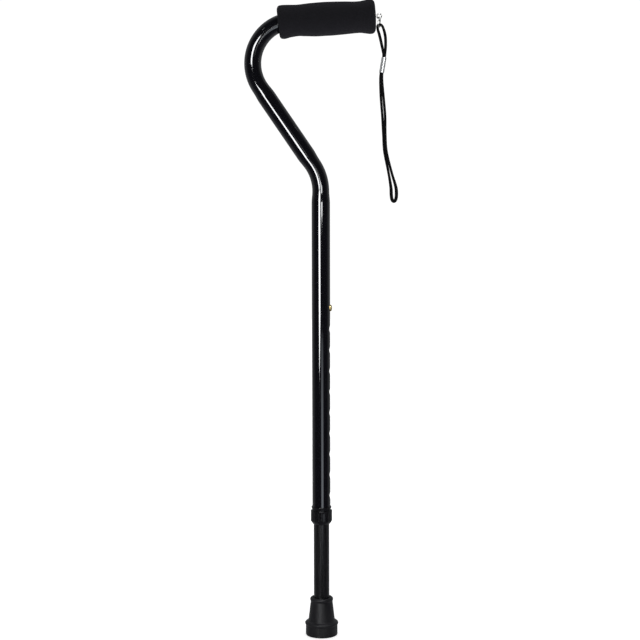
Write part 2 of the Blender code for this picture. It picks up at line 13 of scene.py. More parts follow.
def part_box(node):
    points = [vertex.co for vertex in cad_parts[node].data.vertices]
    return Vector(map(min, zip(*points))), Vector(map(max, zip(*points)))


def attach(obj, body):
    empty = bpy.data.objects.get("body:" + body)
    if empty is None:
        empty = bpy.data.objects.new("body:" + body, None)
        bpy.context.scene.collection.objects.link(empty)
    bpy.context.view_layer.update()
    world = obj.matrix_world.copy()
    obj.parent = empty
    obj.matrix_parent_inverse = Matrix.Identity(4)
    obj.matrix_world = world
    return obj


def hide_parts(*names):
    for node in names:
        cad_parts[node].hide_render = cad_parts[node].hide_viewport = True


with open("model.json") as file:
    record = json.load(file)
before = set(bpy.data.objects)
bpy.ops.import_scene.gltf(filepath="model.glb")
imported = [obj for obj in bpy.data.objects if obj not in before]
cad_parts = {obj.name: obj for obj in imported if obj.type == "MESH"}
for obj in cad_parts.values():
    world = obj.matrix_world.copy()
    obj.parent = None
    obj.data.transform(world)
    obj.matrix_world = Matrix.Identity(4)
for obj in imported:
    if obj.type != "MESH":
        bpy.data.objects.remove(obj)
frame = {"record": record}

MM = 0.001
bpy.context.view_layer.update()

# Upper tube: its centreline lies in the XZ plane
UPPER_RADIUS = 11.0 * MM
WALL = 1.2 * MM
HANDLE_TILT = math.radians(2.9)
HANDLE_AXIS_Z = 743.05 * MM
HANDLE_END_X = 63.4 * MM
LEAN = math.radians(34.3)
SHAFT_CORNER_Z = 558.6 * MM
BIG_BEND_RADIUS = 50 * MM
SMALL_BEND_RADIUS = 57 * MM
FLATTENING = 0.08
FLATTENING_RUN = 14 * MM
TUBE_SIDES = 96
BEND_STEP = math.radians(2)

# Height setting
TOP_HOLE_Z = 401.3 * MM
HOLE_PITCH = 25.4 * MM
HOLE_COUNT = 10
HOLE_RADIUS = 4.25 * MM

# Strap
EYE_X = 69.4 * MM
EYE_RADIUS = 2.75 * MM  # of its wire's centreline
EYE_WIRE_RADIUS = 0.75 * MM
RING_YAW = math.radians(12)
CORD_RADIUS = 1.6 * MM

# Route of the strap's cord, in millimetres: up from the ferrule, through the split ring and back
# down through the ferrule, round the hand loop, and up into the ferrule again
CORD_ROUTE = [
    (74.5, -1.6, 690.2),
    (75.85, -1.6, 698.7),
    (76.5, -2.0, 706.0),
    (76.8, -3.0, 713.0),
    (76.6, -4.2, 720.5),
    (75.6, -4.8, 726.5),
    (74.3, -4.5, 731.0),
    (72.5, -3.2, 735.1),
    (69.4, 0.0, 737.0),
    (67.6, 3.2, 735.1),
    (68.0, 4.5, 731.0),
    (69.4, 4.8, 726.5),
    (70.9, 4.2, 720.5),
    (72.5, 3.0, 713.0),
    (73.9, 2.0, 706.0),
    (74.45, 1.6, 698.7),
    (71.5, 1.6, 680.5),
    (70.9, 1.6, 670.0),
    (71.6, 2.1, 651.0),
    (73.3, 2.4, 630.0),
    (74.5, 1.8, 608.0),
    (75.8, 1.8, 588.0),
    (80.6, 2.8, 564.0),
    (83.7, 4.2, 546.0),
    (84.3, 4.6, 536.0),
    (85.2, 3.2, 530.7),
    (87.1, 0.0, 528.9),
    (89.0, -3.2, 530.7),
    (89.9, -4.6, 536.0),
    (89.2, -4.2, 546.0),
    (84.0, -2.8, 564.0),
    (78.2, -1.8, 588.0),
    (76.8, -1.8, 608.0),
    (76.4, -2.4, 630.0),
    (74.6, -2.1, 651.0),
    (72.9, -1.6, 670.0),
    (72.9, -1.6, 680.5),
    (74.3, -1.6, 689.2),
]
FERRULE_TOP = Vector((75.15, 0, 698.4)) * MM
FERRULE_BOTTOM = Vector((72.2, 0, 680.4)) * MM
FERRULE_YAW = math.radians(66)
STRAND_OFFSET = 1.74 * MM  # of each strand from the middle of the ferrule

# Shares of its radius by which the slack braid is thicker below the ring and round the hand loop
UPPER_SLACK = 0.12
UPPER_SLACK_Z = (703 * MM, 733 * MM)
UPPER_SLACK_RUN = 8 * MM
HAND_SLACK = 0.32
HAND_SLACK_Z = 562 * MM
HAND_SLACK_RUN = 24 * MM


# ---------------------------------------------------------------- camera and studio


def add_camera():
    """Level with the cane's upper half, looking slightly down, with a trace of roll."""
    data = bpy.data.cameras.new("camera")
    data.lens = 84.65
    data.sensor_width = 36
    camera = bpy.data.objects.new("camera", data)
    bpy.context.scene.collection.objects.link(camera)
    camera.location = (-0.86 * MM, -1.8, 562.2 * MM)
    pitch = math.radians(5.565)
    roll = math.radians(0.13)
    camera.rotation_euler = (math.pi / 2 - pitch, roll, 0)
    bpy.context.scene.camera = camera


def add_world():
    """A white surround. It lights and reflects dimly from behind the cane, and hardly in front."""
    world = bpy.data.worlds.new("studio")
    bpy.context.scene.world = world
    world.use_nodes = True
    tree = world.node_tree
    tree.nodes.clear()
    coordinates = tree.nodes.new("ShaderNodeTexCoord")
    parts = tree.nodes.new("ShaderNodeSeparateXYZ")
    tree.links.new(coordinates.outputs["Generated"], parts.inputs["Vector"])
    front, back = -0.35, 0.75
    strength = remap(tree, parts.outputs["Y"], front, back, 0.03, 0.3, "SMOOTHSTEP")
    dim = new_node(tree, "Background", {"Color": (0.95, 0.98, 1, 1)})
    tree.links.new(strength, dim.inputs["Strength"])
    white = new_node(tree, "Background", {"Color": (1, 1, 1, 1), "Strength": 1.05})
    path = tree.nodes.new("ShaderNodeLightPath")
    mix = tree.nodes.new("ShaderNodeMixShader")
    tree.links.new(path.outputs["Is Camera Ray"], mix.inputs["Fac"])
    tree.links.new(dim.outputs["Background"], mix.inputs[1])
    tree.links.new(white.outputs["Background"], mix.inputs[2])
    output = tree.nodes.new("ShaderNodeOutputWorld")
    tree.links.new(mix.outputs["Shader"], output.inputs["Surface"])


def add_card(name, corners, look):
    """A flat part of the studio, with its corners given in order."""
    mesh = bpy.data.meshes.new(name)
    mesh.from_pydata(corners, [], [tuple(range(len(corners)))])
    mesh.materials.append(look)
    card = bpy.data.objects.new(name, mesh)
    bpy.context.scene.collection.objects.link(card)
    return card


def only_reflect(card):
    card.visible_camera = False
    card.visible_diffuse = False
    card.visible_shadow = False


def glow_by_distance(tree, shader, near, far, near_glow, far_glow):
    """Lets a card's glow change with the distance from its origin."""
    coordinates = tree.nodes.new("ShaderNodeTexCoord")
    distance = tree.nodes.new("ShaderNodeVectorMath")
    distance.operation = "LENGTH"
    tree.links.new(coordinates.outputs["Object"], distance.inputs[0])
    glow = remap(tree, distance.outputs["Value"], near, far, near_glow, far_glow)
    tree.links.new(glow, shader.inputs["Emission Strength"])


def add_floor():
    """A white floor that glows a little, more so far from the cane, so that it has no horizon."""
    sockets = {"Base Color": (0.8, 0.8, 0.8, 1), "Roughness": 0.9, "Specular IOR Level": 0}
    look, tree, shader = new_look("floor", {**sockets, "Emission Color": (1, 1, 1, 1)})
    near, far = 0.1, 1.6
    glow_by_distance(tree, shader, near, far, 0.72, 1.02)
    half = 4
    corners = [(-half, -half, 0), (half, -half, 0), (half, half, 0), (-half, half, 0)]
    add_card("floor", corners, look).visible_glossy = False


def around(distance, azimuth_degrees, height=0):
    """A point at a distance from the cane. Its azimuth is counted from the camera's side, positive
    to the right."""
    azimuth = math.radians(azimuth_degrees)
    return Vector((distance * math.sin(azimuth), -distance * math.cos(azimuth), height))


def add_panel(name, outline, strength, azimuth_degrees, distance=1.5, height=0, tilt_degrees=0):
    """A glowing card that faces the cane and that only reflections see. Its outline's points are
    (across, up). It stands upright unless its top is tilted towards the cane."""
    look = bpy.data.materials.new(name)
    look.use_nodes = True
    tree = look.node_tree
    tree.nodes.clear()
    glow = new_node(tree, "Emission", {"Color": (0.97, 0.985, 1, 1), "Strength": strength})
    output = tree.nodes.new("ShaderNodeOutputMaterial")
    tree.links.new(glow.outputs["Emission"], output.inputs["Surface"])
    panel = add_card(name, [(x, 0, z) for x, z in outline], look)
    panel.location = around(distance, azimuth_degrees, height)
    panel.rotation_euler = (-math.radians(tilt_degrees), 0, math.radians(azimuth_degrees))
    only_reflect(panel)


def add_lights():
    """Two key panels, one above the other, draw the long thin highlight with its break in the big
    bend. The spot draws the short one beside it, and the shade in front of it keeps it out of the
    handle's bend. The accent draws the highlight by the grip, the brow picks out edges that face up,
    and the light patch on the floor draws the dim highlight below. They only reflect; a wide lamp
    gives the soft light."""
    key_strength, key_azimuth = 14, -18
    low_key = [(-0.22, 0.51), (-0.27, 0.43), (-0.22, 0.28), (-0.14, 0.13), (-0.03, 0.13)]
    low_key += [(0.27, 0.26), (0.27, 0.43), (0.18, 0.51)]
    add_panel("low_key_panel", low_key, key_strength, key_azimuth)
    high_key = [(-0.22, 0.78), (0.25, 0.78), (0.22, 0.95), (-0.02, 1.13), (-0.33, 1.13)]
    add_panel("high_key_panel", high_key, key_strength, key_azimuth)
    spot = [(-0.3, 0.45), (0.22, 0.45), (0.28, 0.6), (-0.32, 0.6)]
    add_panel("spot_panel", spot, strength=8, azimuth_degrees=12)
    accent = [(-0.07, 1.88), (0.07, 1.88), (0.07, 2.02), (-0.07, 2.02)]
    add_panel("accent_panel", accent, strength=2.4, azimuth_degrees=-48)
    shade = [(-0.04, 0.6), (0.25, 0.6), (0.25, 0.7), (-0.04, 0.7)]
    add_panel("spot_shade", shade, strength=0.5, azimuth_degrees=2, distance=0.75)
    brow = [(-0.35, -0.3), (0.35, -0.3), (0.35, 0.3), (-0.35, 0.3)]
    brow_place = {"azimuth_degrees": 8, "distance": 0.8, "height": 1.6, "tilt_degrees": 60}
    add_panel("brow_panel", brow, strength=5, **brow_place)
    add_floor_patch()
    add_top_lamp()


def add_floor_patch():
    """A sector of light floor in front of the cane, brighter near it."""
    sockets = {"Base Color": (0, 0, 0, 1), "Specular IOR Level": 0}
    look, tree, shader = new_look("floor_patch", {**sockets, "Emission Color": (0.85, 0.92, 1, 1)})
    near, far = 0.6, 3.4
    glow_by_distance(tree, shader, near, far, 1.6, 0.5)
    azimuths = (0, 13, 26)
    outline = [around(near, azimuth) for azimuth in azimuths]
    outline += [around(far, azimuth) for azimuth in reversed(azimuths)]
    patch = add_card("floor_patch", outline, look)
    patch.location = (0, 0, 1 * MM)
    only_reflect(patch)


def add_top_lamp():
    """A wide lamp overhead, which lights without showing in reflections."""
    light = bpy.data.lights.new("top", "AREA")
    light.shape = "RECTANGLE"
    light.size, light.size_y = 2.4, 2.0
    light.energy = 30
    lamp = bpy.data.objects.new("top", light)
    bpy.context.scene.collection.objects.link(lamp)
    lamp.location = (0.1, 0.3, 2.4)
    lamp.visible_camera = False
    lamp.visible_glossy = False


# ---------------------------------------------------------------- materials


def set_sockets(node, sockets):
    for socket, value in sockets.items():
        node.inputs[socket].default_value = value


def new_node(tree, kind, sockets):
    node = tree.nodes.new(f"ShaderNode{kind}")
    set_sockets(node, sockets)
    return node


def new_look(name, sockets):
    """A material with a Principled shader: the material, its node tree and the shader."""
    look = bpy.data.materials.new(name)
    look.use_nodes = True
    shader = look.node_tree.nodes["Principled BSDF"]
    set_sockets(shader, sockets)
    return look, look.node_tree, shader


def object_coordinates(tree, stretch=(1, 1, 1)):
    coordinates = tree.nodes.new("ShaderNodeTexCoord")
    mapping = new_node(tree, "Mapping", {"Scale": stretch})
    tree.links.new(coordinates.outputs["Object"], mapping.inputs["Vector"])
    return mapping.outputs["Vector"]


def noise_field(tree, cell, detail=4, stretch=(1, 1, 1), roughness=0.5):
    """Noise whose lumps are about one cell across, in metres."""
    sockets = {"Scale": 1 / cell, "Detail": detail, "Roughness": roughness}
    field = new_node(tree, "TexNoise", sockets)
    tree.links.new(object_coordinates(tree, stretch), field.inputs["Vector"])
    return field.outputs["Fac"]


def cell_field(tree, cell):
    """Distance from the middle of the nearest of many cells, each about that wide."""
    field = new_node(tree, "TexVoronoi", {"Scale": 1 / cell})
    tree.links.new(object_coordinates(tree), field.inputs["Vector"])
    return field.outputs["Distance"]


def remap(tree, value, low, high, new_low, new_high, interpolation="LINEAR"):
    """Takes the range from low to high to the new one, and holds the new ends outside it."""
    sockets = {"From Min": low, "From Max": high, "To Min": new_low, "To Max": new_high}
    node = new_node(tree, "MapRange", sockets)
    node.interpolation_type = interpolation
    tree.links.new(value, node.inputs["Value"])
    return node.outputs["Result"]


def vary_color(tree, shader, share, dark, light):
    """Sets the base colour, from dark where the share is 0 to light where it is 1."""
    node = tree.nodes.new("ShaderNodeMix")
    node.data_type = "RGBA"
    tree.links.new(share, node.inputs["Factor"])
    node.inputs["A"].default_value = (*dark, 1)
    node.inputs["B"].default_value = (*light, 1)
    tree.links.new(node.outputs["Result"], shader.inputs["Base Color"])


def vary_roughness(tree, shader, field, first, second):
    """Sets the roughness, from first to second over the middle of a noise field's range."""
    tree.links.new(remap(tree, field, 0.3, 0.7, first, second), shader.inputs["Roughness"])


def add_bump(tree, shader, height, distance, strength=1.0):
    """Adds a relief of that depth in metres on top of any relief that the shader has already."""
    node = new_node(tree, "Bump", {"Strength": strength, "Distance": distance})
    tree.links.new(height, node.inputs["Height"])
    earlier = shader.inputs["Normal"].links
    if earlier:
        tree.links.new(earlier[0].from_socket, node.inputs["Normal"])
    tree.links.new(node.outputs["Normal"], shader.inputs["Normal"])


def gloss_coating():
    """Black gloss paint: faint orange peel, a little uneven polish and hairline scratches."""
    look, tree, shader = new_look("gloss_coating", {"IOR": 1.8})
    drift = noise_field(tree, 25 * MM, 3)
    vary_color(tree, shader, drift, (0.0023, 0.0021, 0.0045), (0.0042, 0.0038, 0.0067))
    polish = noise_field(tree, 6 * MM, 5)
    vary_roughness(tree, shader, polish, 0.04, 0.075)
    orange_peel = noise_field(tree, 4 * MM, 2)
    add_bump(tree, shader, orange_peel, 0.004 * MM)
    scratches = noise_field(tree, 0.8 * MM, 2, (1, 1, 0.02))
    add_bump(tree, shader, remap(tree, scratches, 0.68, 0.76, 0, 1), 0.0003 * MM)
    return look


def satin_coating():
    """The lower tube's satin black, rubbed a little brighter in fine streaks along the tube."""
    look, tree, shader = new_look("satin_coating", {"IOR": 1.6})
    streaks = noise_field(tree, 0.9 * MM, 3, (1, 1, 0.03))
    rubbed = remap(tree, streaks, 0.35, 0.75, 0, 1)
    vary_color(tree, shader, rubbed, (0.005, 0.0046, 0.0063), (0.0125, 0.0121, 0.0155))
    vary_roughness(tree, shader, streaks, 0.22, 0.34)
    grain = noise_field(tree, 0.7 * MM, 3)
    add_bump(tree, shader, grain, 0.006 * MM)
    return look


def foam_skin():
    """Closed-cell foam: tiny open pores in a dull skin, with slow changes of tone."""
    look, tree, shader = new_look("foam_skin", {"Sheen Weight": 0.025, "Specular IOR Level": 0.09})
    shader.inputs["Sheen Roughness"].default_value = 0.6
    shader.inputs["Sheen Tint"].default_value = (0.8, 0.82, 0.9, 1)
    drift = noise_field(tree, 9 * MM, 5)
    vary_color(tree, shader, drift, (0.0078, 0.0073, 0.0102), (0.0138, 0.0133, 0.0167))
    vary_roughness(tree, shader, drift, 0.85, 0.98)
    pores = remap(tree, cell_field(tree, 0.55 * MM), 0, 0.5, 0, 1)
    add_bump(tree, shader, pores, 0.05 * MM, 0.8)
    grain = noise_field(tree, 0.25 * MM, 3)
    add_bump(tree, shader, grain, 0.03 * MM, 0.6)
    return look


def molded_rubber():
    """Tip rubber: dull, slightly dusty, with a fine moulded grain."""
    look, tree, shader = new_look("molded_rubber", {"Specular IOR Level": 0.45})
    dust = noise_field(tree, 14 * MM, 6, (1, 1, 0.6), 0.6)
    dusty = remap(tree, dust, 0.35, 0.75, 0, 1)
    vary_color(tree, shader, dusty, (0.0072, 0.0067, 0.01), (0.0162, 0.0157, 0.02))
    vary_roughness(tree, shader, dust, 0.4, 0.56)
    grain = noise_field(tree, 0.6 * MM, 4)
    add_bump(tree, shader, grain, 0.03 * MM, 0.5)
    return look


def molded_plastic(name, tone, low_roughness, high_roughness):
    """Black engineering plastic with a fine spark-eroded texture."""
    look, tree, shader = new_look(name, {"Specular IOR Level": 0.4})
    drift = noise_field(tree, 5 * MM, 4)
    vary_color(tree, shader, drift, [part * 0.7 for part in tone], tone)
    vary_roughness(tree, shader, drift, low_roughness, high_roughness)
    grain = noise_field(tree, 0.35 * MM, 3)
    add_bump(tree, shader, grain, 0.012 * MM, 0.7)
    return look


def plated_metal(name, tone, low_roughness, high_roughness):
    """Bright metal with uneven polish, a little tarnish and fine scratches."""
    look, tree, shader = new_look(name, {"Metallic": 1})
    tarnish = noise_field(tree, 1.8 * MM, 5)
    clean = remap(tree, tarnish, 0.3, 0.6, 0, 1)
    vary_color(tree, shader, clean, [part * 0.72 for part in tone], tone)
    vary_roughness(tree, shader, tarnish, high_roughness, low_roughness)
    scratches = noise_field(tree, 0.25 * MM, 3)
    add_bump(tree, shader, scratches, 0.004 * MM)
    return look


def braided_yarn():
    """The cord's black yarn: fibres along the strands and a soft sheen."""
    look, tree, shader = new_look("braided_yarn", {"Sheen Weight": 0.01, "Specular IOR Level": 0.06})
    shader.inputs["Sheen Roughness"].default_value = 0.5
    fibres = noise_field(tree, 0.3 * MM, 4)
    vary_color(tree, shader, fibres, (0.002, 0.002, 0.0025), (0.006, 0.006, 0.007))
    vary_roughness(tree, shader, fibres, 0.55, 0.8)
    fuzz = noise_field(tree, 0.12 * MM, 2)
    add_bump(tree, shader, fuzz, 0.02 * MM, 0.6)
    return look


# ---------------------------------------------------------------- mesh helpers


def body_of(node):
    for body, members in frame["record"]["behaviour"]["bodies"].items():
        if node in members:
            return body
    raise ValueError(node)


def add_piece(name, bm, look, node, sharp_degrees=None):
    """Turns a bmesh into a smooth piece that stands for a CAD node and rides on its body."""
    bmesh.ops.recalc_face_normals(bm, faces=bm.faces)
    mesh = bpy.data.meshes.new(name)
    bm.to_mesh(mesh)
    bm.free()
    mesh.shade_smooth()
    if sharp_degrees:
        mesh.set_sharp_from_angle(angle=math.radians(sharp_degrees))
    mesh.materials.append(look)
    piece = bpy.data.objects.new(name, mesh)
    bpy.context.scene.collection.objects.link(piece)
    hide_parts(node)
    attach(piece, body_of(node))
    return piece


def bridge(bm, loops, closed=False):
    """Joins each loop of vertices to the next: with quads, or a fan where a loop is one point."""
    pairs = list(pairwise(loops))
    if closed:
        pairs.append((loops[-1], loops[0]))
    for one, other in pairs:
        count = max(len(one), len(other))
        for i in range(count):
            j = (i + 1) % count
            if len(one) == 1:
                bm.faces.new((one[0], other[j], other[i]))
            elif len(other) == 1:
                bm.faces.new((one[i], one[j], other[0]))
            else:
                bm.faces.new((one[i], one[j], other[j], other[i]))


def bridge_and_cap(bm, loops):
    bridge(bm, loops)
    bm.faces.new(loops[0])
    bm.faces.new(loops[-1])


def ring_of(bm, point_at, sides):
    """A loop of vertices, evenly spaced in angle."""
    return [bm.verts.new(point_at(math.tau * i / sides)) for i in range(sides)]


def filleted(corners, closed=False, steps=5):
    """A profile through corners given as (radius, z, fillet), each fillet rounded off. An open
    profile keeps its two ends as they are."""
    most = 0.48  # of an edge, for the fillet at one of its ends
    points = []
    count = len(corners)
    for i, (x, y, fillet) in enumerate(corners):
        here = Vector((x, y))
        if fillet == 0 or (not closed and i in (0, count - 1)):
            points.append(here)
            continue
        before = Vector(corners[i - 1][:2]) - here
        after = Vector(corners[(i + 1) % count][:2]) - here
        half_angle = before.angle(after) / 2
        reach = min(fillet / math.tan(half_angle), before.length * most, after.length * most)
        start = here + before.normalized() * reach
        end = here + after.normalized() * reach
        for k in range(steps + 1):
            t = k / steps
            points.append(start * (1 - t) ** 2 + here * 2 * t * (1 - t) + end * t**2)
    return points


def turned(profile, sides, place=Matrix(), shape=None):
    """A solid of revolution about Z from (radius, z) points, moved to its place. shape changes a
    point's radius with its angle. A profile that meets the axis at both ends is capped there."""
    on_axis = 1e-7
    bm = bmesh.new()
    loops = []
    for radius, z in profile:
        if radius < on_axis:
            loops.append([bm.verts.new(place @ Vector((0, 0, z)))])
            continue

        def point_at(angle, radius=radius, z=z):
            r = shape(radius, z, angle) if shape else radius
            return place @ Vector((r * math.cos(angle), r * math.sin(angle), z))

        loops.append(ring_of(bm, point_at, sides))
    bridge(bm, loops, closed=profile[0][0] > on_axis)
    return bm


def smooth_step(share):
    share = min(max(share, 0), 1)
    return share * share * (3 - 2 * share)


def subdivided(profile, step):
    """The same profile with extra points, no further apart than a step."""
    found = [profile[0]]
    for one, other in pairwise(profile):
        pieces = max(1, math.ceil((other - one).length / step))
        found += [one.lerp(other, i / pieces) for i in range(1, pieces + 1)]
    return found


def sweep(bm, points, section):
    """Loops of a section, given as (side, up) offsets, carried along a line of points."""
    loops = []
    tangent = (points[1] - points[0]).normalized()
    side = tangent.orthogonal().normalized()
    for i, point in enumerate(points):
        ahead = points[min(i + 1, len(points) - 1)]
        behind = points[max(i - 1, 0)]
        tangent = (ahead - behind).normalized()
        side = (side - tangent * side.dot(tangent)).normalized()
        up = tangent.cross(side)
        corners = section(i) if callable(section) else section
        loops.append([bm.verts.new(point + side * a + up * b) for a, b in corners])
    return loops


def circle_section(radius, sides):
    angles = [math.tau * i / sides for i in range(sides)]
    return [(radius * math.cos(a), radius * math.sin(a)) for a in angles]


def smooth_route(route, step):
    """Points of a Catmull-Rom curve through the route, about a step apart."""
    ends = [2 * route[0] - route[1], *route, 2 * route[-1] - route[-2]]
    found = [route[0]]
    for a, b, c, d in zip(ends, ends[1:], ends[2:], ends[3:], strict=False):
        pieces = max(2, round((c - b).length / step))
        for i in range(1, pieces + 1):
            t = i / pieces
            near = b * 2 + (c - a) * t
            far = (a * 2 - b * 5 + c * 4 - d) * t**2 + (b * 3 - a - c * 3 + d) * t**3
            found.append((near + far) / 2)
    return found


# ---------------------------------------------------------------- tubes


def handle_axis(x):
    """The point of the handle's axis at x, as (x, z)."""
    return Vector((x, HANDLE_AXIS_Z + math.tan(HANDLE_TILT) * x))


def line_corner():
    """Where the handle's axis, prolonged, meets the leaning axis, as (x, z)."""
    lean = math.tan(LEAN)
    return handle_axis(-lean * (HANDLE_AXIS_Z - SHAFT_CORNER_Z) / (1 + lean * math.tan(HANDLE_TILT)))


def in_space(point):
    return Vector((point.x, 0, point.y))


def bend_points(before, corner, after, radius):
    """A bend's points and tangents between two straight axes, in the XZ plane as (x, z)."""
    into = (corner - before).normalized()
    out = (after - corner).normalized()
    turn = into.angle_signed(out)
    setback = radius * math.tan(abs(turn) / 2)
    start = corner - into * setback
    side = 1 if turn > 0 else -1
    center = start + Vector((into.y, -into.x)) * radius * side
    steps = round(abs(turn) / BEND_STEP)
    found = []
    for i in range(steps + 1):
        swing = Matrix.Rotation(-turn * i / steps, 2)
        found.append((center + swing @ (start - center), swing @ into))
    return found


def eased(point, along, steps, step_count):
    """Stations beside a bend's end, where the tube eases into the bend's flattened section."""
    stations = []
    for i in steps:
        share = i / step_count
        flat = FLATTENING * (1 - smooth_step(abs(share)))
        stations.append((point + along * FLATTENING_RUN * share, along, flat))
    return stations


def bent_stations():
    """(point, tangent, flattening) from above the height holes to the handle's end. The tube is
    pressed a little narrower along each bend, and eases into it."""
    shaft_corner = Vector((0, SHAFT_CORNER_Z))
    below = Vector((0, TOP_HOLE_Z))
    small = bend_points(below, shaft_corner, line_corner(), SMALL_BEND_RADIUS)
    big = bend_points(shaft_corner, line_corner(), handle_axis(HANDLE_END_X), BIG_BEND_RADIUS)
    count = 6
    stations = []
    for bend in (small, big):
        stations += eased(*bend[0], range(-count, 0), count)
        stations += [(point, tangent, FLATTENING) for point, tangent in bend]
        stations += eased(*bend[-1], range(1, count + 1), count)
    stations.append((handle_axis(HANDLE_END_X), stations[-1][1], 0))
    return stations


def bent_loops(bm, stations, radius):
    loops = []
    for point, tangent, flat in stations:
        center = in_space(point)
        normal = Vector((tangent.y, 0, -tangent.x))
        in_plane = radius * (1 - flat)
        across = radius * (1 + flat / 2)

        def point_at(angle, center=center, normal=normal, in_plane=in_plane, across=across):
            side = Vector((0, across * math.sin(angle), 0))
            return center + normal * in_plane * math.cos(angle) + side

        loops.append(ring_of(bm, point_at, TUBE_SIDES))
    return loops


def punched_wall(bm, radius, bottom, top, hole_heights, half_columns, rim):
    """A vertical tube's wall with round holes on its +X side. Returns its bottom and top loops, and
    each hole's edge loop, which stands back from the hole's wall by the rim's rounding."""
    cell = math.tau / TUBE_SIDES
    half_height = half_columns * cell * radius
    rows = [bottom]
    holes_at = {}
    for z in sorted(hole_heights):
        holes_at[len(rows)] = z
        rows += [z + half_height * k / half_columns for k in range(-half_columns, half_columns + 1)]
    rows.append(top)
    inside_hole = set()
    for row in holes_at:
        for k in range(1, 2 * half_columns):
            for column in range(1 - half_columns, half_columns):
                inside_hole.add((row + k, column % TUBE_SIDES))
    grid = []
    for r, z in enumerate(rows):
        loop = []
        for column in range(TUBE_SIDES):
            if (r, column) in inside_hole:
                loop.append(None)
                continue
            angle = cell * column
            loop.append(bm.verts.new((radius * math.cos(angle), radius * math.sin(angle), z)))
        grid.append(loop)
    for lower, upper in pairwise(grid):
        for i in range(TUBE_SIDES):
            j = (i + 1) % TUBE_SIDES
            corners = (lower[i], lower[j], upper[j], upper[i])
            if None not in corners:
                bm.faces.new(corners)
    edges = []
    for row, z in holes_at.items():
        edges.append(hole_patch(bm, grid, row, z, radius, half_columns, rim))
    return grid[0], grid[-1], edges


def hole_patch(bm, grid, row, z, radius, half_columns, rim):
    """Fills the square round a hole with loops that turn from the square into the hole's circle."""
    span = range(-half_columns, half_columns + 1)
    top = row + 2 * half_columns
    border = [grid[row][c % TUBE_SIDES] for c in span]
    border += [grid[row + k][half_columns] for k in range(1, 2 * half_columns)]
    border += [grid[top][c % TUBE_SIDES] for c in reversed(span)]
    back = -half_columns % TUBE_SIDES
    border += [grid[row + k][back] for k in range(2 * half_columns - 1, 0, -1)]
    loops = [border]
    for share in (0.35, 0.7, 1.0):
        loop = []
        for vertex in border:
            flat = Vector((vertex.co.y, vertex.co.z - z))
            spot = flat.lerp(flat.normalized() * (HOLE_RADIUS + rim), share)
            loop.append(bm.verts.new((math.sqrt(radius**2 - spot.x**2), spot.x, z + spot.y)))
        loops.append(loop)
    bridge(bm, loops)
    return loops[-1]


def round_hole_edges(bm, outer_edges, inner_edges, rim):
    """Joins the outer and inner walls through each hole, with rounded lips."""
    steps = 4
    for outer, inner in zip(outer_edges, inner_edges, strict=True):
        middle = sum((v.co for v in outer), Vector()) / len(outer)
        loops = [outer]
        for end, direction in ((outer, -1), (inner, 1)):
            arc = []
            for k in range(1, steps + 1):
                angle = math.pi / 2 * k / steps
                loop = []
                for vertex in end:
                    flat = Vector((0, vertex.co.y, vertex.co.z - middle.z))
                    reach = flat.normalized() * rim * math.sin(angle)
                    depth = Vector((rim * (1 - math.cos(angle)) * direction, 0, 0))
                    loop.append(bm.verts.new(vertex.co - reach + depth))
                arc.append(loop)
            loops += arc if direction < 0 else arc[::-1]
        loops.append(inner)
        bridge(bm, loops)


def join_walls(bm, walls, rim):
    """Closes a tube between its outer and inner walls: at both ends and through each hole."""
    (outer_low, outer_high, outer_edges), (inner_low, inner_high, inner_edges) = walls
    bridge(bm, [outer_low, inner_low])
    bridge(bm, [outer_high, inner_high])
    round_hole_edges(bm, outer_edges, inner_edges, rim)


def build_upper_tube(look):
    bm = bmesh.new()
    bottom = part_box("upper_tube")[0].z
    stations = bent_stations()
    straight_top = stations[0][0].y
    heights = [TOP_HOLE_Z - i * HOLE_PITCH for i in range(HOLE_COUNT)]
    rim = 0.3 * MM
    half_columns = 8
    walls = []
    for radius in (UPPER_RADIUS, UPPER_RADIUS - WALL):
        span = (bottom, straight_top)
        low, high, edges = punched_wall(bm, radius, *span, heights, half_columns, rim)
        bends = bent_loops(bm, stations[1:], radius)
        bridge(bm, [high, *bends])
        walls.append((low, bends[-1], edges))
    join_walls(bm, walls, rim)
    add_piece("upper_tube_coated", bm, look, "upper_tube", 50)


def build_lower_tube(look):
    bm = bmesh.new()
    low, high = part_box("lower_tube")
    rim = 0.2 * MM
    half_columns = 9
    walls = []
    for radius in (high.x, high.x - WALL):
        walls.append(punched_wall(bm, radius, low.z, high.z, [TOP_HOLE_Z], half_columns, rim))
    join_walls(bm, walls, rim)
    add_piece("lower_tube_coated", bm, look, "lower_tube", 50)


# ---------------------------------------------------------------- collar and tip


def build_collar_bushing(look):
    """A flared cup round the upper tube's end, over a threaded neck that the nut hides."""
    low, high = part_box("collar_bushing")
    bore = UPPER_RADIUS - WALL
    cup = UPPER_RADIUS + 0.15 * MM
    cup_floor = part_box("upper_tube")[0].z - 0.3 * MM
    neck = 11.25 * MM
    waist = 11.3 * MM
    lip = high.x
    thread_pitch = 2 * MM
    thread_depth = 0.4 * MM
    threads = 4
    corners = [
        (bore, low.z, 0.1 * MM),
        (neck - 0.6 * MM, low.z, 0.1 * MM),
        (neck, low.z + 0.8 * MM, 0.1 * MM),
    ]
    for i in range(1, threads + 1):
        root = low.z + i * thread_pitch
        corners.append((neck - thread_depth, root, 0.15 * MM))
        corners.append((neck, root + thread_pitch / 2, 0.15 * MM))
    corners += [
        (waist, low.z + 9.8 * MM, 0.1 * MM),
        (waist, high.z - 2.6 * MM, 0.5 * MM),
        (lip, high.z - 1.2 * MM, 0.35 * MM),
        (lip, high.z, 0.4 * MM),
        (cup, high.z, 0.12 * MM),
        (cup, cup_floor, 0.1 * MM),
        (bore, cup_floor, 0.1 * MM),
    ]
    bm = turned(filleted(corners, closed=True), TUBE_SIDES)
    add_piece("bushing_molded", bm, look, "collar_bushing", 40)


